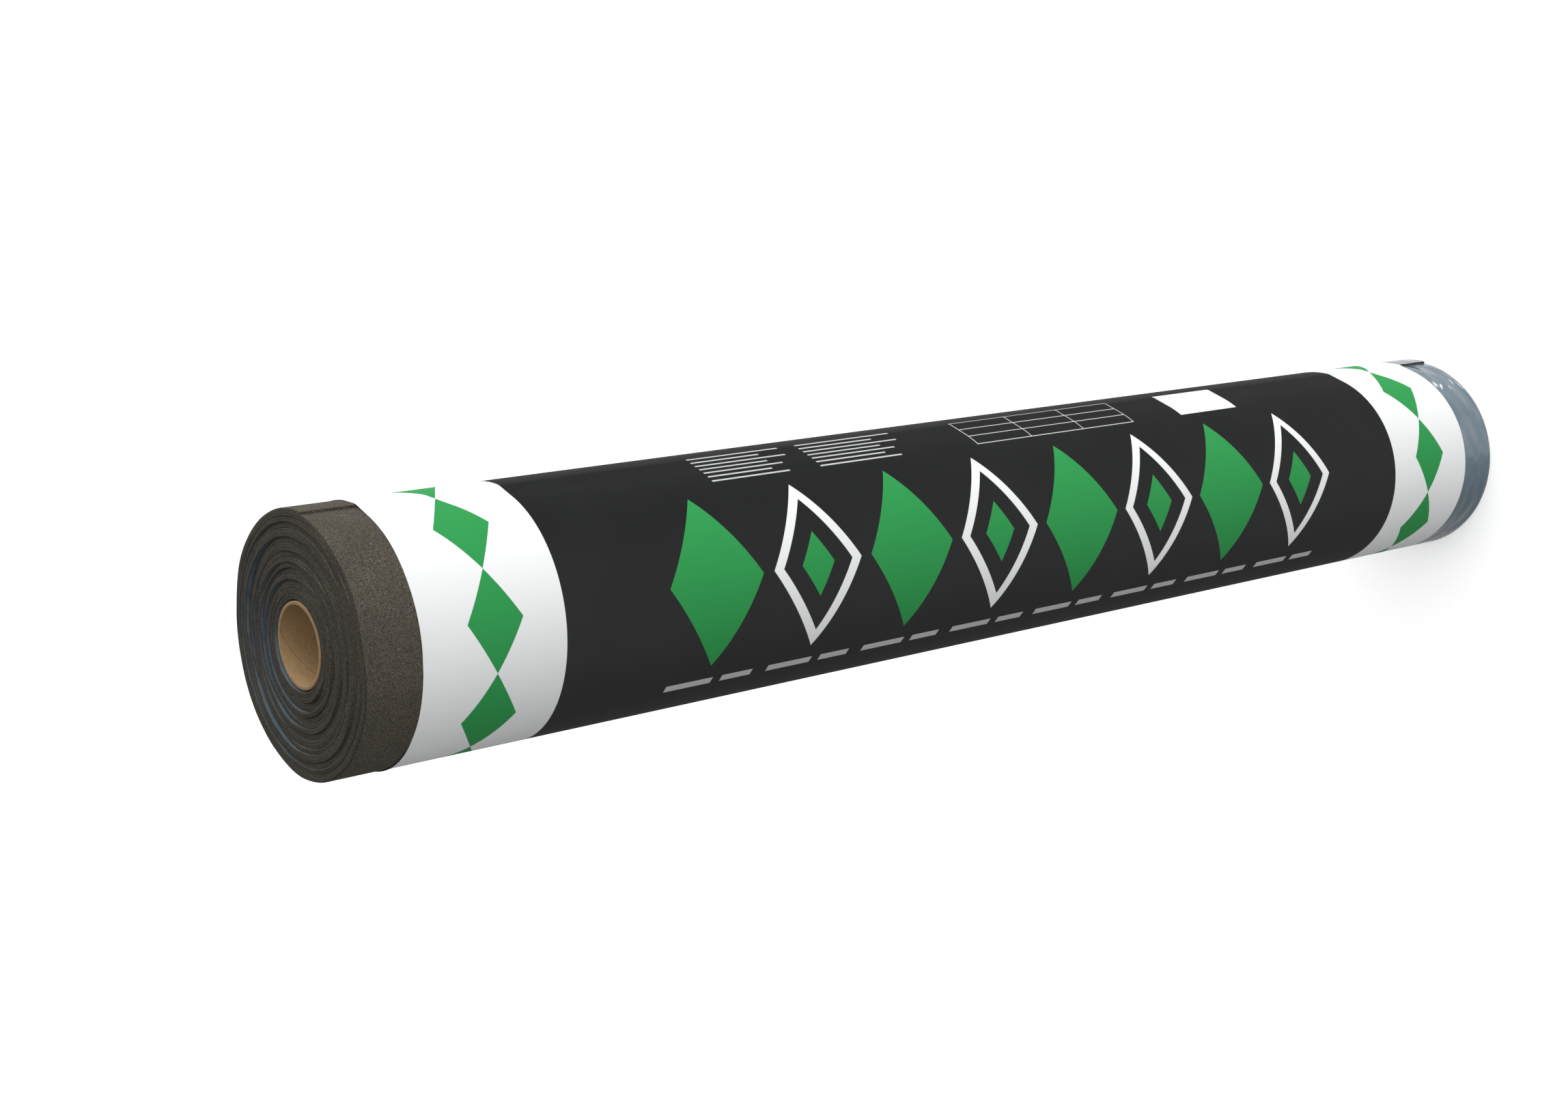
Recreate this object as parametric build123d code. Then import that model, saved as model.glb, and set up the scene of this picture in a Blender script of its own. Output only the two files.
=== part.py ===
from build123d import *
from math import acos, cos, degrees, radians, sin
import os

# Roll of bituminous roofing felt, standing on its lap end as such rolls are stored.
# All sizes are in millimetres. Angles round the roll are measured from the front (-Y)
# towards +X (90), so anticlockwise as seen from above. The origin is on the floor, in
# the middle of the bounding box.

# The felt: one sheet 1 m wide and about 10 m long, wound on a cardboard tube
SHEET_WIDTH = 1000.0
BORE_RADIUS = 25.4
FELT_RADIUS = 75.1
TURNS = 32
PITCH = (FELT_RADIUS - BORE_RADIUS) / TURNS
SHEET_END_ANGLE = 84.0

# The upper end, where the edge of the sheet wanders: neighbouring turns at one height
# read as one band. From the tube outwards: (number of turns, how far they stand up).
# A band has two turns or more, because one alone would meet itself at a mere edge where
# its two halves join.
BANDS = (
    (2, -0.4), (2, 0.9), (3, -0.9), (2, 0.5), (2, -1.8), (2, -0.2), (2, 1.3), (2, -1.1),
    (3, 0.3), (2, -1.5), (3, 1.8), (2, -0.8), (2, 0.7), (3, 0.0),
)
# Worn corners: of a band that stands out, of the grooves between bands at the foot, and
# of the outermost turn
BAND_EDGE = 0.45
GROOVE_EDGE = 0.35
SHOULDER = 1.1

# The release film along the lower edge of the sheet, where the next length laps over it
FILM_THICKNESS = 0.2
FILM_WIDTH = 80.0

# The cardboard tube, gripped by the felt on one side and free of it on the other
TUBE_RADIUS = 24.4
TUBE_WALL = 2.0
TUBE_LENGTH = 1000.0
TUBE_EDGE_BREAK = 0.3
TUBE_GRIP_ANGLE = 40.0

# The paper wrapper round the middle, closed by a glued lap on the far side
PAPER = 0.3
WRAPPER_LENGTH = 932.0
WRAPPER_FOOT = (SHEET_WIDTH - WRAPPER_LENGTH) / 2
LAP_ANGLE = 214.0
LAP_WIDTH = 40.0

HALF_TURN = 180.0


def direction(angle):
    """Level unit vector at an angle measured from the front towards +X."""
    return Vector(sin(radians(angle)), -cos(radians(angle)), 0)


# The sheet winds in half turns about two centres half a pitch apart, the back half about
# one and the front half about the other, so each turn runs on into the next and the outer
# end of the sheet stands one pitch proud at its angle.
CENTRE_STEP = direction(SHEET_END_ANGLE) * (-PITCH / 2)
FRONT_BORE_RADIUS = BORE_RADIUS + PITCH / 2
FRONT_FELT_RADIUS = FELT_RADIUS - PITCH / 2
FRONT_START_ANGLE = SHEET_END_ANGLE - HALF_TURN
MOST_X = (FELT_RADIUS, FRONT_FELT_RADIUS - CENTRE_STEP.X)
MOST_Y = (FELT_RADIUS, FRONT_FELT_RADIUS - CENTRE_STEP.Y)
BACK_CENTRE = Vector((MOST_X[1] - MOST_X[0]) / 2, (MOST_Y[1] - MOST_Y[0]) / 2, 0)
FRONT_CENTRE = BACK_CENTRE + CENTRE_STEP
TUBE_CENTRE = FRONT_CENTRE + direction(TUBE_GRIP_ANGLE) * (FRONT_BORE_RADIUS - TUBE_RADIUS)


def band_spans(inner_radius, turns):
    """The bands of half the roll as (inner radius, outer radius, height), outwards."""
    spans = []
    left = turns
    for count, rise in BANDS:
        count = min(count, left)
        left -= count
        spans.append((inner_radius, inner_radius + count * PITCH, SHEET_WIDTH + rise))
        inner_radius += count * PITCH
    return spans


def top_outline(spans):
    """Points (out, up) along the upper end: of two bands, the higher has a worn corner."""
    points = []
    heights = [height for _, _, height in spans]
    below = [heights[0]] + heights[:-1]
    above = heights[1:] + heights[-1:]
    for (inner, outer, height), before, after in zip(spans, below, above):
        if height > before:
            points += [(inner, height - BAND_EDGE), (inner + BAND_EDGE, height)]
        else:
            points += [(inner, height)]
        if height > after:
            points += [(outer - BAND_EDGE, height), (outer, height - BAND_EDGE)]
        else:
            points += [(outer, height)]
    outer, height = points.pop()
    return points + [(outer - SHOULDER, height), (outer, height - SHOULDER)]


def foot_outline(spans):
    """Points (out, up) along the flush lower end: bands part at shallow grooves."""
    points = [(spans[0][0], 0)]
    for _, outer, _ in spans[:-1]:
        points += [(outer - GROOVE_EDGE, 0), (outer, GROOVE_EDGE), (outer + GROOVE_EDGE, 0)]
    outer = spans[-1][1]
    seat = outer - FILM_THICKNESS
    return points + [(outer - SHOULDER, 0), (seat, SHOULDER), (seat, FILM_WIDTH), (outer, FILM_WIDTH)]


def half_roll(outline, centre, start_angle):
    """Turns a closed outline of points (out, up) by half a turn about a centre."""
    way = direction(start_angle)
    corners = [centre + way * out + Vector(0, 0, up) for out, up in outline]
    section = make_face(Polyline(*corners, close=True))
    return revolve(section, Axis(centre, (0, 0, 1)), revolution_arc=HALF_TURN)


def felt_half_outline(inner_radius, turns):
    spans = band_spans(inner_radius, turns)
    return foot_outline(spans) + top_outline(spans)[::-1]


def make_felt_roll():
    back = half_roll(felt_half_outline(BORE_RADIUS, TURNS), BACK_CENTRE, SHEET_END_ANGLE)
    front = half_roll(
        felt_half_outline(FRONT_BORE_RADIUS, TURNS - 1), FRONT_CENTRE, FRONT_START_ANGLE
    )
    return back + front


def film_outline(outer_radius):
    inner_radius = outer_radius - FILM_THICKNESS
    return [
        (inner_radius, SHOULDER),
        (outer_radius, SHOULDER),
        (outer_radius, FILM_WIDTH),
        (inner_radius, FILM_WIDTH),
    ]


def make_lap_film():
    back = half_roll(film_outline(FELT_RADIUS), BACK_CENTRE, SHEET_END_ANGLE)
    front = half_roll(film_outline(FRONT_FELT_RADIUS), FRONT_CENTRE, FRONT_START_ANGLE)
    return back + front


def make_core_tube():
    ring = Circle(TUBE_RADIUS) - Circle(TUBE_RADIUS - TUBE_WALL)
    tube = extrude(Plane(TUBE_CENTRE) * ring, TUBE_LENGTH)
    rims = tube.edges().filter_by(GeomType.CIRCLE)
    return chamfer(rims, TUBE_EDGE_BREAK)


def arc_round(centre, radius, start_angle, end_angle):
    """Level arc about a centre between two angles."""
    return ThreePointArc(
        centre + direction(start_angle) * radius,
        centre + direction((start_angle + end_angle) / 2) * radius,
        centre + direction(end_angle) * radius,
    )


def tight_outline(rise):
    """Outline that a tight wrapper follows, a little outside the felt.

    Past the corner of the sheet's end it runs straight down to the turn below."""
    back_radius = FELT_RADIUS + rise
    front_radius = FRONT_FELT_RADIUS + rise
    touch_angle = SHEET_END_ANGLE - degrees(acos(front_radius / (front_radius + PITCH)))
    back = arc_round(BACK_CENTRE, back_radius, SHEET_END_ANGLE, SHEET_END_ANGLE + HALF_TURN)
    front = arc_round(FRONT_CENTRE, front_radius, FRONT_START_ANGLE, touch_angle)
    bridge = Line(front @ 1, back @ 0)
    return make_face([back, front, bridge])


def make_wrapper():
    sleeve_radius = FELT_RADIUS + PAPER
    lap_end_angle = LAP_ANGLE + degrees(LAP_WIDTH / sleeve_radius)
    inner = arc_round(BACK_CENTRE, sleeve_radius, LAP_ANGLE, lap_end_angle)
    outer = arc_round(BACK_CENTRE, sleeve_radius + PAPER, LAP_ANGLE, lap_end_angle)
    lap = make_face([inner, Line(inner @ 1, outer @ 1), outer, Line(outer @ 0, inner @ 0)])
    section = tight_outline(PAPER) - tight_outline(0) + lap
    return extrude(Pos(0, 0, WRAPPER_FOOT) * section, WRAPPER_LENGTH, dir=(0, 0, 1))


os.makedirs("parts", exist_ok=True)
for name, make in (
    ("felt_roll", make_felt_roll),
    ("lap_film", make_lap_film),
    ("core_tube", make_core_tube),
    ("wrapper", make_wrapper),
):
    part = make()
    print(name, part.is_valid, len(part.solids()), round(part.volume), part.bounding_box())
    export_step(part, f"parts/{name}.step")
print("bore centre", TUBE_CENTRE)
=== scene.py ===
import math

import bpy
from mathutils import Matrix, Vector, noise


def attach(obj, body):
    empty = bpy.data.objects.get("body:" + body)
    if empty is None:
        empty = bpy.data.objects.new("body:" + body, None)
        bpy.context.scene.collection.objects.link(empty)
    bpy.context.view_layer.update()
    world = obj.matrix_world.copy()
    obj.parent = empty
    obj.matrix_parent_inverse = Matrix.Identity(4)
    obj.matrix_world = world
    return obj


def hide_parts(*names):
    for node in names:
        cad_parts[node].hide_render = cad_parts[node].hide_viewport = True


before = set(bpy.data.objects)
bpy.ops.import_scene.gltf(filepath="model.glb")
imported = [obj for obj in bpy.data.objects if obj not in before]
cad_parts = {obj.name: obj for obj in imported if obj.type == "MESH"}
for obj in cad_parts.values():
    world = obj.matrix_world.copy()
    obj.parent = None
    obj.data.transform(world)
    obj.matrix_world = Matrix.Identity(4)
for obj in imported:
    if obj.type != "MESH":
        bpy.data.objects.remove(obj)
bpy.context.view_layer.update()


# The cardboard tube that the sheet is wound on: strips of brown board glued in a slow
# helix round a former and cut off square. The felt grips it on one side only, so a gap
# shows along the other side.
TUBE_CENTRE = Vector((0.00037, -0.00171, 0.0))
TUBE_RADIUS = 0.0244
TUBE_WALL = 0.002
TUBE_LENGTH = 1.0
TUBE_SIDES = 128
RIM_BREAK = 0.0003
PLY_LEAD = 0.070
PLY_THICKNESS = 0.0004
STRIP_SLANT = 0.45
FIBRE_SCALE = 900
BOARD_ROUGHNESS = 0.78
BOARD_LIGHT = (0.325, 0.212, 0.102, 1)
BOARD_DARK = (0.268, 0.172, 0.081, 1)
# Colour of the flecks and seam, also used for the painted shade on the cut rims
BOARD_FLECK_AND_SHADE = (0.13, 0.085, 0.045, 1)


def feed(tree, sockets, values):
    """Gives each input a number or colour, or links a socket to it."""
    for socket, value in zip(sockets, values):
        if isinstance(value, bpy.types.NodeSocket):
            tree.links.new(value, socket)
        else:
            socket.default_value = value


def join(tree, operation, *values):
    """Adds one Math node and feeds it numbers or sockets."""
    node = tree.nodes.new("ShaderNodeMath")
    node.operation = operation
    feed(tree, node.inputs, values)
    return node.outputs[0]


def times(tree, first, second):
    return join(tree, "MULTIPLY", first, second)


def rest_of(tree, share):
    """1 less a share."""
    return join(tree, "SUBTRACT", 1.0, share)


def blend(tree, factor, first, second):
    """Mixes two colours, each a tuple or a socket, and returns the mixed socket."""
    node = tree.nodes.new("ShaderNodeMix")
    node.data_type = "RGBA"
    feed(tree, (node.inputs[0], node.inputs[6], node.inputs[7]), (factor, first, second))
    return node.outputs[2]


def rise(tree, value, low, high):
    """0 below low, 1 above high and smooth between."""
    node = tree.nodes.new("ShaderNodeMapRange")
    node.interpolation_type = "SMOOTHSTEP"
    node.inputs["From Min"].default_value = low
    node.inputs["From Max"].default_value = high
    tree.links.new(value, node.inputs["Value"])
    return node.outputs["Result"]


def grain(tree, vector, scale, detail=2.0, roughness=0.5):
    node = tree.nodes.new("ShaderNodeTexNoise")
    node.inputs["Scale"].default_value = scale
    node.inputs["Detail"].default_value = detail
    node.inputs["Roughness"].default_value = roughness
    tree.links.new(vector, node.inputs["Vector"])
    return node.outputs["Fac"]


def bump(tree, height, strength, distance, below=None):
    node = tree.nodes.new("ShaderNodeBump")
    node.inputs["Strength"].default_value = strength
    node.inputs["Distance"].default_value = distance
    tree.links.new(height, node.inputs["Height"])
    if below is not None:
        tree.links.new(below, node.inputs["Normal"])
    return node.outputs["Normal"]


def place_round(tree, centre):
    """Object coordinates about an upright axis: angle in radians, radius, height."""
    coordinates = tree.nodes.new("ShaderNodeTexCoord")
    parts = tree.nodes.new("ShaderNodeSeparateXYZ")
    tree.links.new(coordinates.outputs["Object"], parts.inputs[0])
    across = join(tree, "SUBTRACT", parts.outputs["X"], centre.x)
    back = join(tree, "SUBTRACT", parts.outputs["Y"], centre.y)
    angle = join(tree, "ARCTAN2", back, across)
    squares = join(tree, "ADD", times(tree, across, across), times(tree, back, back))
    radius = join(tree, "SQRT", squares)
    return angle, radius, parts.outputs["Z"], coordinates.outputs["Object"]


def as_vector(tree, *parts):
    node = tree.nodes.new("ShaderNodeCombineXYZ")
    feed(tree, node.inputs, parts)
    return node.outputs[0]


def facing_up(tree):
    """How far the surface faces upwards, from -1 to 1."""
    facing = tree.nodes.new("ShaderNodeSeparateXYZ")
    tree.links.new(tree.nodes["Texture Coordinate"].outputs["Normal"], facing.inputs[0])
    return facing.outputs["Z"]


def new_material(name):
    material = bpy.data.materials.new(name)
    material.use_nodes = True
    return material, material.node_tree, material.node_tree.nodes["Principled BSDF"]


def brown_board():
    material, tree, surface = new_material("brown_board")
    angle, radius, height, _ = place_round(tree, TUBE_CENTRE)
    around = times(tree, angle, TUBE_RADIUS)
    # Fibres lie along the strip, which runs mostly round the tube
    along = join(tree, "ADD", around, times(tree, height, STRIP_SLANT))
    across = join(tree, "SUBTRACT", height, times(tree, around, STRIP_SLANT))
    drawn_out = as_vector(tree, times(tree, along, 0.22), across, radius)
    fibres = grain(tree, drawn_out, FIBRE_SCALE, 4, 0.6)
    cloud = grain(tree, as_vector(tree, along, across, radius), 60, 2)
    short = as_vector(tree, times(tree, along, 0.3), across, radius)
    flecks = rise(tree, grain(tree, short, FIBRE_SCALE, 1), 0.66, 0.74)
    up_the_helix = join(tree, "DIVIDE", height, PLY_LEAD)
    turns = join(tree, "ADD", up_the_helix, join(tree, "DIVIDE", angle, 2 * math.pi))
    from_seam = join(tree, "ABSOLUTE", join(tree, "SUBTRACT", join(tree, "FRACT", turns), 0.5))
    seam = rest_of(tree, rise(tree, from_seam, 0.002, 0.008))
    tone = join(tree, "ADD", times(tree, fibres, 0.65), times(tree, cloud, 0.35))
    colour = blend(tree, rise(tree, tone, 0.36, 0.62), BOARD_DARK, BOARD_LIGHT)
    colour = blend(tree, times(tree, flecks, 0.5), colour, BOARD_FLECK_AND_SHADE)
    colour = blend(tree, times(tree, seam, 0.35), colour, BOARD_FLECK_AND_SHADE)
    # Plies show as rings on the cut rims; the rims are also painted a little darker all over,
    # painted shade on the faces that look up and down
    rim = rise(tree, join(tree, "ABSOLUTE", facing_up(tree)), 0.4, 0.8)
    in_ply = join(tree, "FRACT", join(tree, "DIVIDE", radius, PLY_THICKNESS))
    ply = join(tree, "ABSOLUTE", join(tree, "SUBTRACT", in_ply, 0.5))
    plies_and_painted_shade = times(tree, rim, join(tree, "ADD", 0.2, ply))
    colour = blend(tree, plies_and_painted_shade, colour, BOARD_FLECK_AND_SHADE)
    tree.links.new(colour, surface.inputs["Base Color"])
    surface.inputs["Roughness"].default_value = BOARD_ROUGHNESS
    surface.inputs["Specular IOR Level"].default_value = 0.3
    relief = join(tree, "SUBTRACT", fibres, seam)
    tree.links.new(bump(tree, relief, 0.5, 0.0002), surface.inputs["Normal"])
    return material


def apply_modifier(piece, kind, **settings):
    modifier = piece.modifiers.new(kind.lower(), kind)
    for name, value in settings.items():
        setattr(modifier, name, value)
    bpy.context.view_layer.objects.active = piece
    bpy.ops.object.modifier_apply(modifier=modifier.name)


bpy.ops.object.select_all(action="DESELECT")
bpy.ops.mesh.primitive_cylinder_add(
    vertices=TUBE_SIDES, radius=TUBE_RADIUS, depth=TUBE_LENGTH, end_fill_type="NOTHING",
    location=TUBE_CENTRE + Vector((0, 0, TUBE_LENGTH / 2)),
)
tube = bpy.context.object
tube.name = "cardboard_tube"
bpy.ops.object.transform_apply(location=True, rotation=True, scale=True)
apply_modifier(tube, "SOLIDIFY", thickness=TUBE_WALL, offset=-1)
apply_modifier(tube, "BEVEL", width=RIM_BREAK, segments=2, limit_method="ANGLE")
bpy.ops.object.shade_smooth_by_angle(angle=math.radians(40))
tube.data.materials.append(brown_board())
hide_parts("core_tube")
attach(tube, "root")


# The felt: one sheet of sanded bitumen felt, 1 m wide and about 10 m long, with a blue-grey
# film on the face that is wound inwards. It is wound tight, so its turns show only at the
# ends, where the upper edge wanders in and out and its corners are worn.
BORE_RADIUS = 0.0254
FELT_RADIUS = 0.0751
SHEET_WIDTH = 1.0
TURNS = 32
PITCH = (FELT_RADIUS - BORE_RADIUS) / TURNS
SHEET_END_ANGLE = 84.0
HALF_TURNS = 2 * TURNS - 1
SECTIONS_PER_HALF_TURN = 48
INNER_FACE_ROWS = 4
HAIR = 0.00004
SHEET_START = -0.625
SHOULDER = 0.0010
FILM_FOOT = 0.0011
GROOVE_EDGE = 0.0003
ROUND_CORNER = 0.29
# The upper edge, from the tube outwards: (number of turns, how far they stand up or down)
BANDS = (
    (2, -0.4), (2, 0.9), (3, -0.9), (2, 0.5), (2, -1.8), (2, -0.2), (2, 1.3), (2, -1.1),
    (3, 0.3), (2, -1.5), (3, 1.8), (2, -0.8), (2, 0.7), (3, 0.0),
)
BAND_STEP = 0.0004
BAND_EASE = 0.22
WANDER = 0.0009
LEAN = 0.0011
LEAST_LEAN = 0.25
LEANS_MOST_AT = 205
CROWN = 0.00015
MOST_RISE = 0.00175
MOST_DROP = -0.004
# Beside the tube the first turns stand up on one side and leave its rim in view opposite
TUBE_SHOWS_AT = 35
RISE_BESIDE_TUBE = 0.0016
DROP_BESIDE_TUBE = 0.0005
HALF_TURNS_BESIDE_TUBE = 5
# Wear of the upper corners, and the gaps between turns
LEAST_WEAR = 0.00004
WEAR_AT_PARTING = 0.00026
WEAR_WHERE_PROUD = 0.00016
PROUD = 0.0009
MOST_WEAR = 0.97
TURN_GAP = 0.00001
PARTING_GAP = 0.00007
EDGE_SWELL = 0.00003
FOOT_WEAR = 0.0002
NEAR_FOOT = 0.09
NEAR_TOP = 0.96
EDGE_TURNED_IN = 0.006
MERGED_WITHIN = 0.000002
SAND_SCALE = 2800
CLUMP_SCALE = 1900
# Painted shade: how much darker the upward-facing cut edge is painted
CUT_EDGE_PAINTED_SHADE = 0.52
FELT_DARK = (0.034, 0.029, 0.022, 1)
FELT_BROWN = (0.104, 0.090, 0.067, 1)
FELT_TAN = (0.190, 0.158, 0.112, 1)
FELT_SLATE = (0.096, 0.104, 0.097, 1)
FILM_BLUE = (0.070, 0.098, 0.125, 1)
FILM_BLUE_PALE = (0.095, 0.130, 0.160, 1)


def direction(angle):
    """Level unit vector at an angle in degrees, from the front (-Y) towards +X."""
    return Vector((math.sin(math.radians(angle)), -math.cos(math.radians(angle)), 0))


# Half turns about two centres half a pitch apart, as in the solid model
CENTRE_STEP = direction(SHEET_END_ANGLE) * (-PITCH / 2)
FRONT_FELT_RADIUS = FELT_RADIUS - PITCH / 2
BACK_CENTRE = Vector((
    (FRONT_FELT_RADIUS - CENTRE_STEP.x - FELT_RADIUS) / 2,
    (FRONT_FELT_RADIUS - CENTRE_STEP.y - FELT_RADIUS) / 2,
    0,
))
FRONT_CENTRE = BACK_CENTRE + CENTRE_STEP


def held(share):
    """Keeps a share between 0 and 1."""
    return min(1, max(0, share))


def eased(share):
    return share * share * (3 - 2 * share)


def noise_round(way, scale, place):
    """Smooth noise from about -1 to 1 that meets itself round the roll."""
    return noise.noise(Vector((way.x * scale, way.y * scale, place)))


def sheet_angle(half_turns):
    return SHEET_END_ANGLE + 180 * (HALF_TURNS - half_turns)


def wound(half_turns, out):
    """Place on the spiral, so many half turns on from where the bore closes."""
    count = min(math.floor(half_turns), HALF_TURNS - 1)
    centre = FRONT_CENTRE if count % 2 else BACK_CENTRE
    return centre + direction(sheet_angle(half_turns)) * (BORE_RADIUS + count * PITCH / 2 + out)


def band_at(half_turns):
    """Height of the band here, its number, and how far across it this turn lies."""
    turn = (half_turns + 1) / 2
    start = 0
    for number, (count, height) in enumerate(BANDS):
        if turn < start + count or number == len(BANDS) - 1:
            break
        start += count
    before = BANDS[max(number - 1, 0)][1]
    ease = eased(held((turn - start) / BAND_EASE))
    share = 1 + ease * (min(1, (turn - start) / count) - 1)
    return before + (height - before) * ease, number - 1 + ease, share


def edge_height(half_turns):
    """Height of the sheet's upper edge: each band leans, is crowned, and wanders."""
    height, band, share = band_at(half_turns)
    way = direction(sheet_angle(half_turns))
    slow = noise_round(way, 1, band * 2.7 + 11)
    quick = noise_round(way, 2.1, band * 4.3 + half_turns * 0.12)
    leaning_side = max(0, way.dot(direction(LEANS_MOST_AT)))
    lean = (LEAST_LEAN + (1 - LEAST_LEAN) * leaning_side) * (0.5 - share)
    rise_by = BAND_STEP * height + WANDER * slow + WANDER * quick + LEAN * lean
    rise_by -= CROWN * (2 * share - 1) ** 2
    hidden_side = max(0, way.dot(-direction(TUBE_SHOWS_AT)))
    beside_tube = RISE_BESIDE_TUBE * hidden_side - DROP_BESIDE_TUBE
    free = held((half_turns - 1) / HALF_TURNS_BESIDE_TUBE)
    rise_by = beside_tube + (rise_by - beside_tube) * free
    return SHEET_WIDTH + max(MOST_DROP, min(MOST_RISE, rise_by))


def parting(half_turns):
    """1 where this turn and the one outside it lie in different bands, else 0."""
    return min(1, band_at(half_turns + 2)[1] - band_at(half_turns)[1])


def worn(part, step):
    """Radius of a corner's wear, more beside a parting and where it stands proud."""
    return LEAST_WEAR + WEAR_AT_PARTING * part + WEAR_WHERE_PROUD * held(step / PROUD)


def sheet_section(half_turns):
    """Outline of the sheet across its width: (out, height), up the inner face and back down."""
    top = edge_height(half_turns)
    inner = worn(parting(half_turns - 2), top - edge_height(half_turns - 2))
    outer = worn(parting(half_turns), top - edge_height(half_turns + 2))
    if half_turns > HALF_TURNS - 2:
        outer = SHOULDER
    thick = PITCH - TURN_GAP - PARTING_GAP * parting(half_turns)
    fit = min(1, MOST_WEAR * thick / (inner + outer))
    inner, outer = inner * fit, outer * fit
    inner_round, outer_round = inner * ROUND_CORNER, outer * ROUND_CORNER
    return (
        (0, FOOT_WEAR), (0, SHEET_WIDTH / 2), (0, NEAR_TOP), (0, top - EDGE_TURNED_IN),
        (0, top - inner), (inner_round, top - inner_round), (inner, top),
        ((inner + thick - outer) / 2, top + EDGE_SWELL),
        (thick - outer, top), (thick - outer_round, top - outer_round), (thick, top - outer),
        (thick, top - EDGE_TURNED_IN), (thick, NEAR_TOP), (thick, SHEET_WIDTH / 2),
        (thick, NEAR_FOOT), (thick, FILM_FOOT), (thick - GROOVE_EDGE, 0), (GROOVE_EDGE, 0),
        (0, FOOT_WEAR),
    )


def clear_of_tube(place):
    """Moves a point out of the tube: the first of the sheet is nipped thin beside it."""
    out = place - TUBE_CENTRE
    if out.length < TUBE_RADIUS + HAIR:
        out = out.normalized() * (TUBE_RADIUS + HAIR)
    return TUBE_CENTRE + out


def wind_sheet():
    rows = len(sheet_section(0)) - 1
    lengths = round((HALF_TURNS - SHEET_START) * SECTIONS_PER_HALF_TURN)
    bpy.ops.object.select_all(action="DESELECT")
    bpy.ops.mesh.primitive_grid_add(x_subdivisions=lengths, y_subdivisions=rows, size=1)
    sheet = bpy.context.object
    mesh = sheet.data
    for face in mesh.polygons:
        row = (face.center.y + 0.5) * rows
        face.material_index = 1 if row < INNER_FACE_ROWS else 0
    starts = [SHEET_START + i / SECTIONS_PER_HALF_TURN for i in range(lengths + 1)]
    sections = [sheet_section(half_turns) for half_turns in starts]
    for vertex in mesh.vertices:
        length = round((vertex.co.x + 0.5) * lengths)
        row = round((vertex.co.y + 0.5) * rows)
        out, height = sections[length][row]
        half_turns = starts[length]
        vertex.co = clear_of_tube(wound(half_turns, out)) + Vector((0, 0, height))
    bpy.ops.object.mode_set(mode="EDIT")
    bpy.ops.mesh.select_all(action="SELECT")
    bpy.ops.mesh.remove_doubles(threshold=MERGED_WITHIN)
    # Closes the two cut ends of the sheet
    bpy.ops.mesh.select_all(action="DESELECT")
    bpy.ops.mesh.select_non_manifold(
        use_wire=False, use_multi_face=False, use_non_contiguous=False, use_verts=False,
    )
    bpy.ops.mesh.edge_face_add()
    bpy.ops.mesh.select_all(action="SELECT")
    bpy.ops.mesh.normals_make_consistent(inside=False)
    bpy.ops.object.mode_set(mode="OBJECT")
    for face in mesh.polygons:
        if len(face.vertices) > 4:
            face.material_index = 0
    bpy.ops.object.shade_smooth_by_angle(angle=math.radians(50))
    return sheet


def sanded_felt():
    """Bitumen dusted with fine mixed sand: brown-grey, with tan, slate and black grains."""
    material, tree, surface = new_material("sanded_felt")
    coordinates = tree.nodes.new("ShaderNodeTexCoord").outputs["Object"]
    grains = tree.nodes.new("ShaderNodeTexVoronoi")
    grains.inputs["Scale"].default_value = SAND_SCALE
    tree.links.new(coordinates, grains.inputs["Vector"])
    kinds = tree.nodes.new("ShaderNodeSeparateColor")
    tree.links.new(grains.outputs["Color"], kinds.inputs[0])
    clumps = grain(tree, coordinates, CLUMP_SCALE, 2, 0.6)
    patches = grain(tree, coordinates, 45, 3)
    colour = blend(tree, rise(tree, kinds.outputs["Red"], 0.15, 0.75), FELT_DARK, FELT_BROWN)
    colour = blend(tree, rise(tree, kinds.outputs["Green"], 0.72, 0.90), colour, FELT_TAN)
    colour = blend(tree, rise(tree, kinds.outputs["Blue"], 0.76, 0.92), colour, FELT_SLATE)
    shade = join(tree, "ADD", times(tree, rise(tree, clumps, 0.3, 0.7), 0.9),
                 times(tree, rise(tree, patches, 0.3, 0.7), 0.25))
    colour = blend(tree, times(tree, rest_of(tree, shade), 0.7), colour, FELT_DARK)
    # Painted shade: faces that look upwards, the cut edge at the roll's upper end, are painted
    # darker
    edge = rise(tree, facing_up(tree), 0.15, 0.60)
    edge_painted_shade = tree.nodes.new("ShaderNodeVectorMath")
    edge_painted_shade.operation = "SCALE"
    left = rest_of(tree, times(tree, edge, CUT_EDGE_PAINTED_SHADE))
    feed(tree, (edge_painted_shade.inputs[0], edge_painted_shade.inputs["Scale"]), (colour, left))
    tree.links.new(edge_painted_shade.outputs[0], surface.inputs["Base Color"])
    surface.inputs["Roughness"].default_value = 0.9
    surface.inputs["Specular IOR Level"].default_value = 0.25
    coarse = bump(tree, clumps, 0.5, 0.0004)
    fine = bump(tree, grains.outputs["Distance"], 0.4, 0.0002, coarse)
    tree.links.new(fine, surface.inputs["Normal"])
    return material


def inner_film():
    """Thin blue-grey film melted onto the bitumen, seen only on edge between the turns."""
    material, tree, surface = new_material("inner_film")
    coordinates = tree.nodes.new("ShaderNodeTexCoord").outputs["Object"]
    cloud = grain(tree, coordinates, 90, 3)
    colour = blend(tree, rise(tree, cloud, 0.3, 0.7), FILM_BLUE, FILM_BLUE_PALE)
    tree.links.new(colour, surface.inputs["Base Color"])
    surface.inputs["Roughness"].default_value = 0.32
    tree.links.new(bump(tree, cloud, 0.3, 0.0004), surface.inputs["Normal"])
    return material


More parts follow.
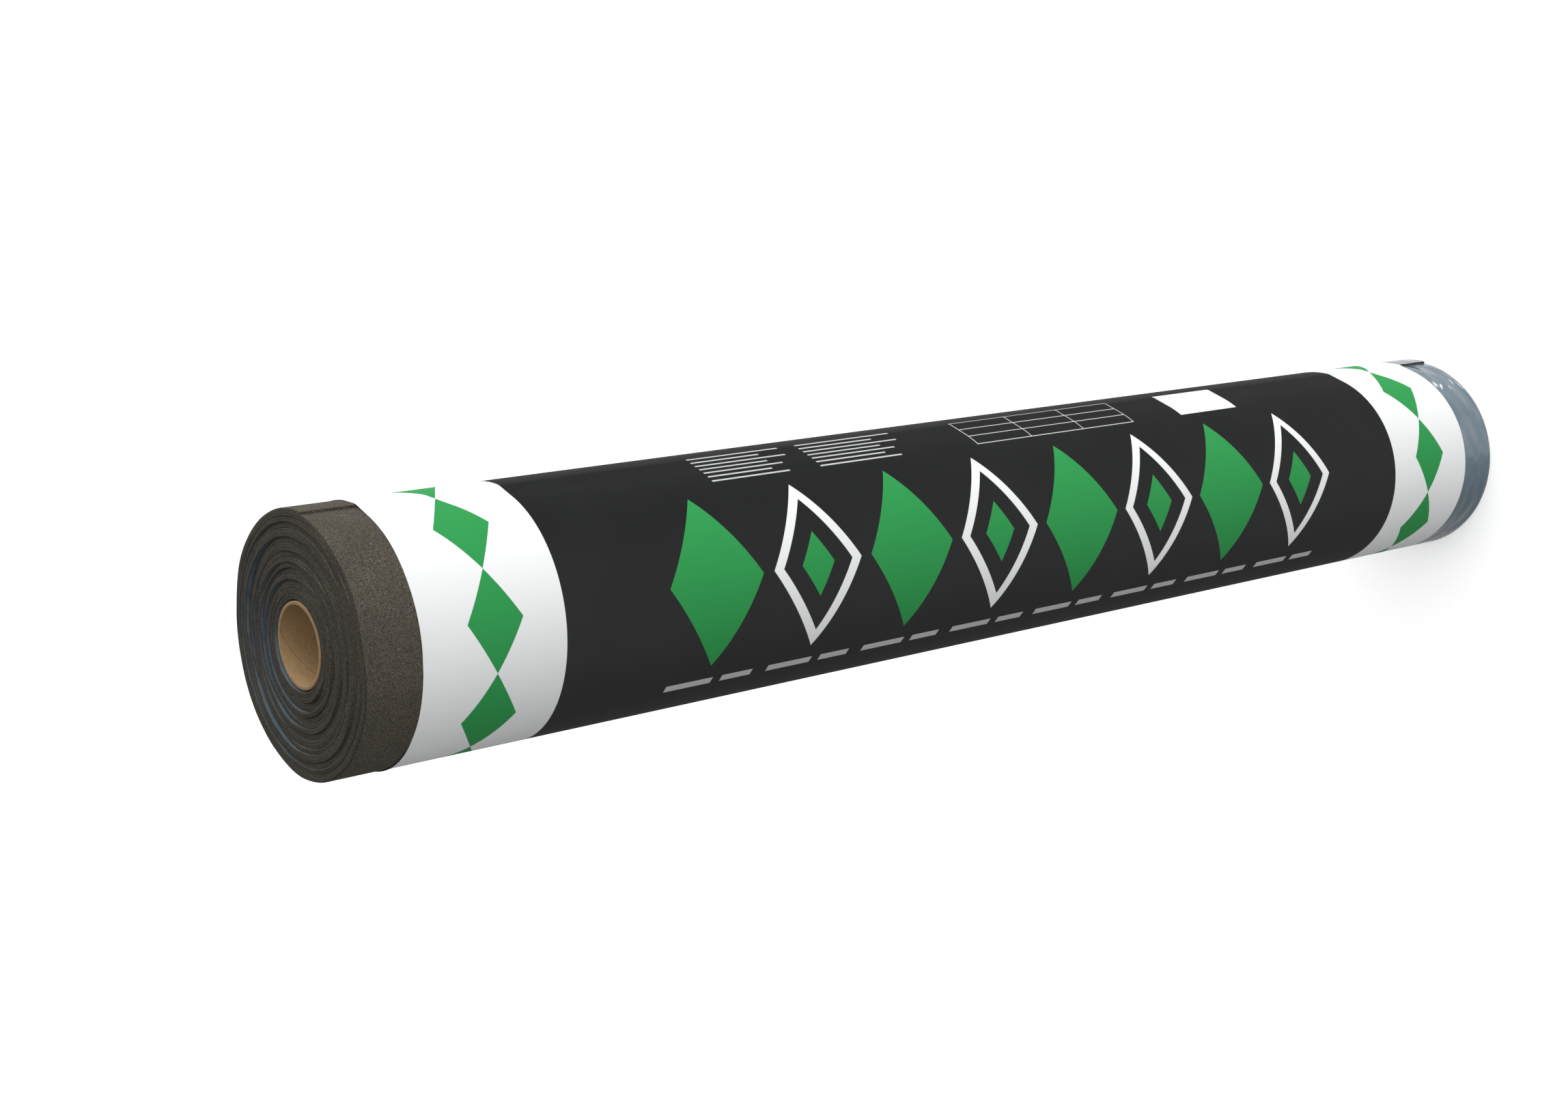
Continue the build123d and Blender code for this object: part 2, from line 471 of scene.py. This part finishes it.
felt = wind_sheet()
felt.name = "wound_felt"
felt.data.materials.append(sanded_felt())
felt.data.materials.append(inner_film())
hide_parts("felt_roll")
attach(felt, "root")


# The release film along the sheet's lower edge: thin blue-grey plastic over the strip of
# bitumen that the next length laps onto. It isn't stuck flat, so it puckers into long
# shallow wrinkles that run round the roll.
FILM_WIDTH = 0.080
FILM_THICKNESS = 0.000008
WRAPPER_LENGTH = 0.932
WRAPPER_FOOT = (SHEET_WIDTH - WRAPPER_LENGTH) / 2
FILM_SECTIONS = 400
FILM_ROWS = 96
# In half turns: how far it starts under the sheet's outer end, and where it comes free
FILM_TUCKED_IN = 0.05
FILM_FREE_AFTER = 0.03
FOLDS_PER_METRE = 70
FOLD_DRIFT = 0.008
FOLD_SHARPNESS = 2.2
FILM_OFF = 0.00004
CREST_HEIGHT = 0.00021
FINE_WRINKLE = 0.00003
# Under the paper it is tight, from a little way below the paper's edge
TIGHT_BELOW_PAPER = 0.005
TIGHTENS_OVER = 0.003
LEAST_GAP = 0.00002
LAP_FILM = (0.100, 0.152, 0.192, 1)
LAP_FILM_PALE = (0.136, 0.193, 0.234, 1)


def wrinkle(half_turns, height):
    """How far the film stands off the felt: ridges that run round, part and join."""
    way = direction(sheet_angle(half_turns))
    drift = FOLD_DRIFT * noise_round(way, 0.8, 3.0)
    place = (height + drift) * FOLDS_PER_METRE
    fold = 1 - min(1, FOLD_SHARPNESS * abs(noise_round(way, 2.2, place)))
    fine = noise_round(way, 2.9, place * 2.6 + 40)
    under_paper = held((height - WRAPPER_FOOT + TIGHT_BELOW_PAPER) / TIGHTENS_OVER)
    off = FILM_OFF + CREST_HEIGHT * eased(fold) + FINE_WRINKLE * fine
    return off * (1 - under_paper) + LEAST_GAP


def lay_film():
    bpy.ops.object.select_all(action="DESELECT")
    bpy.ops.mesh.primitive_grid_add(x_subdivisions=FILM_SECTIONS, y_subdivisions=FILM_ROWS, size=1)
    film = bpy.context.object
    start = HALF_TURNS - 2 - FILM_TUCKED_IN
    for vertex in film.data.vertices:
        half_turns = start + (vertex.co.x + 0.5) * (HALF_TURNS - start)
        height = FILM_FOOT + (vertex.co.y + 0.5) * (FILM_WIDTH - FILM_FOOT)
        # Under the sheet's outer end it is pressed flat
        free = held((half_turns - HALF_TURNS + 2) / FILM_FREE_AFTER)
        off = max(0, wrinkle(half_turns, height)) * free
        vertex.co = wound(half_turns, PITCH + off) + Vector((0, 0, height))
    bpy.ops.object.mode_set(mode="EDIT")
    bpy.ops.mesh.select_all(action="SELECT")
    bpy.ops.mesh.normals_make_consistent(inside=False)
    bpy.ops.object.mode_set(mode="OBJECT")
    apply_modifier(film, "SOLIDIFY", thickness=FILM_THICKNESS, offset=-1)
    bpy.ops.object.shade_smooth_by_angle(angle=math.radians(60))
    return film


def release_film():
    material, tree, surface = new_material("release_film")
    angle, _, height, coordinates = place_round(tree, Vector((0, 0, 0)))
    folded = as_vector(tree, times(tree, angle, 3.4), times(tree, height, 100), 0.0)
    folds = grain(tree, folded, 1.0, 0.6, 0.35)
    cloud = grain(tree, coordinates, 30, 2)
    colour = blend(tree, rise(tree, cloud, 0.35, 0.65), LAP_FILM, LAP_FILM_PALE)
    tree.links.new(colour, surface.inputs["Base Color"])
    surface.inputs["Roughness"].default_value = 0.11
    surface.inputs["Specular IOR Level"].default_value = 0.6
    tree.links.new(bump(tree, folds, 1.0, 0.0026), surface.inputs["Normal"])
    return material


film = lay_film()
film.name = "release_film"
film.data.materials.append(release_film())
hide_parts("lap_film")
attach(film, "root")


# The wrapper: a sheet of satin paper printed black with white ends, pulled tight round the
# roll and glued to itself along a lap on the far side. Over the sheet's outer end it
# bridges the step in a flat.
PAPER = 0.00015
PAPER_STANDS_OFF = 0.0003
LAP_ANGLE = 214.0
LAP_WIDTH = 0.040
LAP_SWEEP = math.degrees(LAP_WIDTH / FELT_RADIUS)
LAP_RISES_FROM = 345.0
LAP_CLEARANCE = 1.1
# The lap's free edge: the degrees of it that aren't glued, and how far it stands off
LAP_FREE = 7.0
LAP_STANDS_OFF = 0.00030
LAP_UNEVEN = 0.00025
# Half the room there is for the paper, in X and Y
PAPER_LIMIT = Vector((0.07524, 0.07481))
# The upper edge: how deep a strip of it lifts, how far, and where most of all
LIFTED = 0.009
LIFT_SPRUNG = 0.0005
LIFT_UNEVEN = 0.0003
SPRUNG_AT = -58
SPRUNG_WITHIN = 0.93
PAPER_SECTIONS = 340
PAPER_ROWS = 80
ROWS_BELOW_LIFT = 0.85
WHITE_END = 0.0903
# The print, in metres down from the paper's upper edge and round from its middle
PRINT_CENTRE_ANGLE = 12.0
EDGE_BLUR = 0.00012
LINKS = 8
CHAIN_MIDDLE = 0.046
CHAIN_HALF_HEIGHT = 0.0175
DIAMOND_PITCH = 0.152
DIAMONDS = 4
DIAMOND = (0.034, 0.054)
DIAMOND_HEART = (0.0125, 0.020)
DIAMOND_RIM = 0.0062
FIRST_SOLID = 0.196
FIRST_OUTLINE = 0.272
DASHES_START = 0.162
DASH_PITCH = 0.076
DASH_LONG = (0.006, 0.040)
DASH_SHORT = (0.047, 0.070)
DASHES_AROUND = (-0.0705, -0.0650)
LABEL_ALONG = (0.640, 0.700)
LABEL_AROUND = (0.066, 0.096)
RULE_PITCH = 0.0046
RULE_LINE = (0.0014, 0.0028)
RULES_AROUND = (0.0650, 0.0970)
# Each block of rules: its start, its end, and where its longest rule ends
RULE_BLOCKS = ((0.222, 0.300, 0.292), (0.306, 0.400, 0.384))
RAGGED_BY = 0.022
TABLE_COLUMNS = (0.440, 0.490, 0.540, 0.590)
TABLE_ROWS = (0.066, 0.076, 0.086, 0.096)
TABLE_LINE = 0.0004
GREY_COVER = 0.62
MOTTLE = 0.008
PAPER_WHITE = (0.86, 0.87, 0.875, 1)
INK_BLACK = (0.0338, 0.0342, 0.0342, 1)
# Painted shade: the black painted on the side that takes most light
INK_PAINTED_SHADE = (0.0105, 0.0110, 0.0112, 1)
INK_WORN = (0.25, 0.26, 0.26, 1)
INK_GREEN = (0.033, 0.310, 0.082, 1)
BARE_PAPER = (0.50, 0.50, 0.49, 1)
BARE_PAPER_PALE = (0.62, 0.62, 0.61, 1)


def tight(angle, off):
    """Place round the felt that tight paper takes, a little outside it."""
    angle = (angle - SHEET_END_ANGLE) % 360 + SHEET_END_ANGLE
    front_radius = FRONT_FELT_RADIUS + off
    touch = SHEET_END_ANGLE + 360 - math.degrees(math.acos(front_radius / (front_radius + PITCH)))
    if angle <= SHEET_END_ANGLE + 180:
        return BACK_CENTRE + direction(angle) * (FELT_RADIUS + off)
    if angle <= touch:
        return FRONT_CENTRE + direction(angle) * front_radius
    share = (angle - touch) / (SHEET_END_ANGLE + 360 - touch)
    lower = FRONT_CENTRE + direction(touch) * front_radius
    corner = BACK_CENTRE + direction(SHEET_END_ANGLE) * (FELT_RADIUS + off)
    return lower.lerp(corner, share)


def paper_height(share):
    """Rows close up in the last of the paper, where its upper edge lifts."""
    if share < ROWS_BELOW_LIFT:
        return WRAPPER_FOOT + share / ROWS_BELOW_LIFT * (WRAPPER_LENGTH - LIFTED)
    return WRAPPER_FOOT + WRAPPER_LENGTH - LIFTED * (1 - share) / (1 - ROWS_BELOW_LIFT)


def edge_lift(angle, height):
    """The upper edge has sprung from the felt a little, most of all low on the front."""
    way = direction(angle)
    near_edge = max(0, (height - WRAPPER_FOOT - WRAPPER_LENGTH + LIFTED) / LIFTED)
    sprung = max(0, (way.dot(direction(SPRUNG_AT)) - SPRUNG_WITHIN) / (1 - SPRUNG_WITHIN))
    uneven = max(0, 0.5 + noise_round(way, 2.2, 7.0))
    return near_edge ** 2 * (LIFT_SPRUNG * sprung + LIFT_UNEVEN * uneven)


def lap_spring(turned, height):
    """The free edge of the lap isn't glued right up to its end, and stands off unevenly."""
    near_end = max(0, (turned - 360 - LAP_SWEEP) / LAP_FREE + 1)
    uneven = noise.noise(Vector((3.0, 5.0, height * 9)))
    return near_end ** 2 * (LAP_STANDS_OFF + LAP_UNEVEN * uneven)


def wrap_paper():
    bpy.ops.object.select_all(action="DESELECT")
    bpy.ops.mesh.primitive_grid_add(
        x_subdivisions=PAPER_SECTIONS, y_subdivisions=PAPER_ROWS, size=1,
    )
    paper = bpy.context.object
    sweep = 360 + LAP_SWEEP
    for vertex in paper.data.vertices:
        turned = (vertex.co.x + 0.5) * sweep
        height = paper_height(vertex.co.y + 0.5)
        over_lap = held((turned - LAP_RISES_FROM) / (360 - LAP_RISES_FROM))
        off = PAPER_STANDS_OFF - PAPER + over_lap * PAPER * LAP_CLEARANCE
        off += lap_spring(turned, height)
        place = tight(LAP_ANGLE + turned, off + edge_lift(LAP_ANGLE + turned, height))
        place.x = max(-PAPER_LIMIT.x, min(PAPER_LIMIT.x, place.x))
        place.y = max(-PAPER_LIMIT.y, min(PAPER_LIMIT.y, place.y))
        vertex.co = place + Vector((0, 0, height))
    bpy.ops.object.mode_set(mode="EDIT")
    bpy.ops.mesh.select_all(action="SELECT")
    bpy.ops.mesh.normals_make_consistent(inside=False)
    bpy.ops.object.mode_set(mode="OBJECT")
    apply_modifier(paper, "SOLIDIFY", thickness=PAPER, offset=1)
    for face in paper.data.polygons:
        outward = Vector((face.center.x, face.center.y, 0)).normalized()
        face.material_index = 0 if face.normal.dot(outward) > 0.5 else 1
    bpy.ops.object.shade_smooth_by_angle(angle=math.radians(40))
    return paper


def between(tree, value, low, high):
    """1 where a distance lies between two limits, with a hair's breadth of soft edge."""
    return times(tree, rise(tree, value, low - EDGE_BLUR, low + EDGE_BLUR),
                 rest_of(tree, rise(tree, value, high - EDGE_BLUR, high + EDGE_BLUR)))


def either(tree, *masks):
    total = masks[0]
    for mask in masks[1:]:
        total = join(tree, "MAXIMUM", total, mask)
    return total


def both(tree, *masks):
    total = masks[0]
    for mask in masks[1:]:
        total = times(tree, total, mask)
    return total


def diamonds(tree, along, up, first, pitch, count, half_size, rim=1.0):
    """A row of diamonds from the middle of the first; with a rim, only their outline."""
    half_width, half_height = half_size
    from_start = join(tree, "SUBTRACT", along, first - pitch / 2)
    in_one = join(tree, "MODULO", from_start, pitch)
    side = join(tree, "ABSOLUTE", join(tree, "SUBTRACT", in_one, pitch / 2))
    slant = join(tree, "ADD", join(tree, "DIVIDE", side, half_width),
                 join(tree, "DIVIDE", join(tree, "ABSOLUTE", up), half_height))
    depth = half_width * half_height / math.hypot(half_width, half_height)
    inside = times(tree, rest_of(tree, slant), depth)
    row = between(tree, from_start, 0.0, pitch * count)
    return both(tree, row, between(tree, inside, 0.0, rim))


def printed_paper():
    """The print is rows of plain diamonds, with rules, an empty table and a blank label."""
    material, tree, surface = new_material("printed_paper")
    angle, _, height, coordinates = place_round(tree, Vector((0, 0, 0)))
    # Along runs down from the paper's upper edge; around runs from the print's middle to +X
    along = join(tree, "SUBTRACT", WRAPPER_FOOT + WRAPPER_LENGTH, height)
    from_foot = join(tree, "SUBTRACT", WRAPPER_LENGTH, along)
    from_front = join(tree, "ADD", angle, math.pi / 2 - math.radians(PRINT_CENTRE_ANGLE))
    wrapped = join(tree, "WRAP", from_front, math.pi, -math.pi)
    paper_radius = FELT_RADIUS + PAPER_STANDS_OFF
    around = times(tree, wrapped, paper_radius)

    foot_white = WRAPPER_LENGTH - WHITE_END
    white_ends = either(
        tree,
        rest_of(tree, rise(tree, along, WHITE_END - EDGE_BLUR, WHITE_END + EDGE_BLUR)),
        rise(tree, along, foot_white - EDGE_BLUR, foot_white + EDGE_BLUR),
    )
    # A chain of diamonds runs round each white end
    girth = 2 * math.pi * paper_radius
    link = girth / LINKS
    spaced = join(tree, "ADD", around, girth)
    chains = [
        diamonds(tree, spaced, join(tree, "SUBTRACT", from_edge, CHAIN_MIDDLE), 0.0, link,
                 2 * LINKS + 1, (link / 2, CHAIN_HALF_HEIGHT))
        for from_edge in (along, from_foot)
    ]

    # Large diamonds run along the front, a solid one and an outline by turns
    row = (DIAMOND_PITCH, DIAMONDS)
    green = either(
        tree,
        diamonds(tree, along, around, FIRST_SOLID, *row, DIAMOND),
        diamonds(tree, along, around, FIRST_OUTLINE, *row, DIAMOND_HEART),
    )
    white = diamonds(tree, along, around, FIRST_OUTLINE, *row, DIAMOND, DIAMOND_RIM)
    dash = join(tree, "MODULO", join(tree, "SUBTRACT", along, DASHES_START), DASH_PITCH)
    dashes = both(
        tree,
        between(tree, along, DASHES_START, DASHES_START + DASH_PITCH * 2 * DIAMONDS),
        either(tree, between(tree, dash, *DASH_LONG), between(tree, dash, *DASH_SHORT)),
        between(tree, around, *DASHES_AROUND),
    )

    # Towards the top are a blank label, two blocks of ragged rules and an empty table
    label = both(tree, between(tree, along, *LABEL_ALONG), between(tree, around, *LABEL_AROUND))
    ragged = tree.nodes.new("ShaderNodeTexWhiteNoise")
    ragged.noise_dimensions = "1D"
    line = join(tree, "FLOOR", join(tree, "DIVIDE", around, RULE_PITCH))
    tree.links.new(line, ragged.inputs["W"])
    stretched = join(tree, "ADD", along, times(tree, ragged.outputs["Value"], RAGGED_BY))
    blocks = [
        both(tree, between(tree, along, low, high), between(tree, stretched, 0.0, end))
        for low, high, end in RULE_BLOCKS
    ]
    rules = both(
        tree,
        either(tree, *blocks),
        between(tree, join(tree, "MODULO", around, RULE_PITCH), *RULE_LINE),
        between(tree, around, *RULES_AROUND),
    )
    left, right = TABLE_COLUMNS[0] - TABLE_LINE, TABLE_COLUMNS[-1] + TABLE_LINE
    low, high = TABLE_ROWS[0] - TABLE_LINE, TABLE_ROWS[-1] + TABLE_LINE
    table = [
        both(tree, between(tree, along, x - TABLE_LINE, x + TABLE_LINE),
             between(tree, around, low, high))
        for x in TABLE_COLUMNS
    ] + [
        both(tree, between(tree, along, left, right),
             between(tree, around, y - TABLE_LINE, y + TABLE_LINE))
        for y in TABLE_ROWS
    ]

    # Painted shade: the black ink is painted darker towards +X, the side that takes most light, so
    # that it looks even under this light
    toward = join(tree, "SINE", join(tree, "ADD", angle, math.pi / 2))
    ink_shade_range = tree.nodes.new("ShaderNodeMapRange")
    ink_shade_range.inputs["From Min"].default_value = -0.2
    tree.links.new(toward, ink_shade_range.inputs["Value"])
    black = blend(tree, ink_shade_range.outputs["Result"], INK_BLACK, INK_PAINTED_SHADE)
    grey = either(tree, dashes, rules, *table)
    colour = blend(tree, times(tree, grey, GREY_COVER), black, PAPER_WHITE)
    colour = blend(tree, either(tree, white, label), colour, PAPER_WHITE)
    colour = blend(tree, green, colour, INK_GREEN)
    ends = blend(tree, either(tree, *chains), PAPER_WHITE, INK_GREEN)
    colour = blend(tree, white_ends, colour, ends)
    cloud = rise(tree, grain(tree, coordinates, 22, 3), 0.40, 0.75)
    colour = blend(tree, times(tree, cloud, MOTTLE), colour, INK_WORN)
    tree.links.new(colour, surface.inputs["Base Color"])
    surface.inputs["Roughness"].default_value = 0.6
    surface.inputs["Specular IOR Level"].default_value = 0.05
    tooth_of_paper = grain(tree, coordinates, 1400, 2)
    swell = bump(tree, grain(tree, coordinates, 14, 2), 0.25, 0.002)
    tree.links.new(bump(tree, tooth_of_paper, 0.12, 0.0001, swell), surface.inputs["Normal"])
    return material


def bare_paper():
    """The unprinted inner face and the cut edges."""
    material, tree, surface = new_material("bare_paper")
    coordinates = tree.nodes.new("ShaderNodeTexCoord").outputs["Object"]
    fibres = grain(tree, coordinates, 700, 3)
    colour = blend(tree, fibres, BARE_PAPER, BARE_PAPER_PALE)
    tree.links.new(colour, surface.inputs["Base Color"])
    surface.inputs["Roughness"].default_value = 0.8
    surface.inputs["Specular IOR Level"].default_value = 0.2
    tree.links.new(bump(tree, fibres, 0.2, 0.0001), surface.inputs["Normal"])
    return material


paper = wrap_paper()
paper.name = "paper_wrapper"
paper.data.materials.append(printed_paper())
paper.data.materials.append(bare_paper())
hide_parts("wrapper")
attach(paper, "root")


# The studio: a pale floor under the standing roll and a white backdrop all round. Soft
# light comes most from the side that is uppermost in the picture, and from one softbox.
FLOOR_SIZE = 30.0
FLOOR_WHITE = (0.9, 0.9, 0.9, 1)
FLOOR_GREY = (0.88, 0.88, 0.88, 1)
FLOOR_GLOW = 0.40
BACKDROP_RADIUS = 14.0
# Strengths of the light, and where each part of it starts and is full, seen from the roll
HORIZON = (-0.02, 0.02)
SKY_LEAST = 0.10
SKY_FROM_SIDE = 1.02
SKY_SIDE = (-0.60, 0.0)
SKY_FROM_TOP = 1.7
SKY_TOP = (0.45, 1.0)
GROUND_LEAST = 0.40
GROUND_FROM_SIDE = 0.60
GROUND_SIDE = (-0.09, -0.03)
SOFTBOX = 14.0
SOFTBOX_EDGE = (0.03, 0.05)
SOFTBOX_TOWARD = Vector((0.57, 0.07, -0.82))


def pale_floor():
    material, tree, surface = new_material("pale_floor")
    coordinates = tree.nodes.new("ShaderNodeTexCoord").outputs["Object"]
    colour = blend(tree, grain(tree, coordinates, 3, 2), FLOOR_GREY, FLOOR_WHITE)
    tree.links.new(colour, surface.inputs["Base Color"])
    surface.inputs["Roughness"].default_value = 0.9
    surface.inputs["Emission Color"].default_value = (1, 1, 1, 1)
    surface.inputs["Emission Strength"].default_value = FLOOR_GLOW
    return material


bpy.ops.object.select_all(action="DESELECT")
bpy.ops.mesh.primitive_plane_add(size=FLOOR_SIZE)
floor = bpy.context.object
floor.name = "floor"
floor.data.materials.append(pale_floor())
floor.visible_diffuse = False
floor.visible_glossy = False


def white_backdrop():
    material, _, surface = new_material("white_backdrop")
    surface.inputs["Base Color"].default_value = FLOOR_WHITE
    surface.inputs["Emission Color"].default_value = (1, 1, 1, 1)
    surface.inputs["Emission Strength"].default_value = 1.0
    material.cycles.emission_sampling = "NONE"
    return material


bpy.ops.mesh.primitive_uv_sphere_add(segments=64, ring_count=32, radius=BACKDROP_RADIUS)
backdrop = bpy.context.object
backdrop.name = "backdrop"
backdrop.data.materials.append(white_backdrop())
bpy.ops.object.shade_smooth()
for kind in ("visible_diffuse", "visible_glossy", "visible_transmission", "visible_shadow"):
    setattr(backdrop, kind, False)

world = bpy.data.worlds.new("studio")
bpy.context.scene.world = world
world.use_nodes = True
tree = world.node_tree
background = tree.nodes["Background"]
background.inputs["Color"].default_value = (1, 1, 1, 1)
look = tree.nodes.new("ShaderNodeTexCoord")
parts = tree.nodes.new("ShaderNodeSeparateXYZ")
tree.links.new(look.outputs["Generated"], parts.inputs[0])
toward = parts.outputs["X"]
from_side = times(tree, rise(tree, toward, *SKY_SIDE), SKY_FROM_SIDE)
from_top = times(tree, rise(tree, toward, *SKY_TOP), SKY_FROM_TOP)
above = join(tree, "ADD", SKY_LEAST, join(tree, "ADD", from_side, from_top))
ground = times(tree, rise(tree, toward, *GROUND_SIDE), GROUND_FROM_SIDE)
away = tree.nodes.new("ShaderNodeVectorMath")
away.operation = "DISTANCE"
away.inputs[1].default_value = SOFTBOX_TOWARD.normalized()
tree.links.new(look.outputs["Generated"], away.inputs[0])
lit = rest_of(tree, rise(tree, away.outputs["Value"], *SOFTBOX_EDGE))
softbox = times(tree, lit, SOFTBOX)
below = join(tree, "ADD", join(tree, "ADD", GROUND_LEAST, ground), softbox)
upper = rise(tree, parts.outputs["Z"], *HORIZON)
light = join(tree, "ADD", times(tree, upper, above), times(tree, rest_of(tree, upper), below))
tree.links.new(light, background.inputs["Strength"])

# The camera stands where the picture was taken from, and turns with the roll: the picture
# shows the roll lying down, and here it stands on end.
LENS = 50.96
YAW = math.radians(50.754)
PITCH_DOWN = math.radians(12.188)
PLACE_BY_LYING_ROLL = Vector((-1.0300, -1.0635, 0.3761))
AXIS_HEIGHT_LYING = 0.0754
level = math.cos(PITCH_DOWN)
looking = Vector((level * math.cos(YAW), level * math.sin(YAW), -math.sin(PITCH_DOWN)))
stand_up = Matrix(((0, 0, 1), (0, 1, 0), (-1, 0, 0)))
from_middle = PLACE_BY_LYING_ROLL - Vector((0, 0, AXIS_HEIGHT_LYING))
place = stand_up @ from_middle + Vector((0, 0, SHEET_WIDTH / 2))
turn = stand_up @ looking.to_track_quat("-Z", "Y").to_matrix()
camera_data = bpy.data.cameras.new("camera")
camera = bpy.data.objects.new("camera", camera_data)
bpy.context.scene.collection.objects.link(camera)
camera_data.lens = LENS
camera_data.sensor_width = 36.0
camera.matrix_world = Matrix.Translation(place) @ turn.to_4x4()
bpy.context.scene.camera = camera
bpy.context.scene.view_settings.view_transform = "Standard"
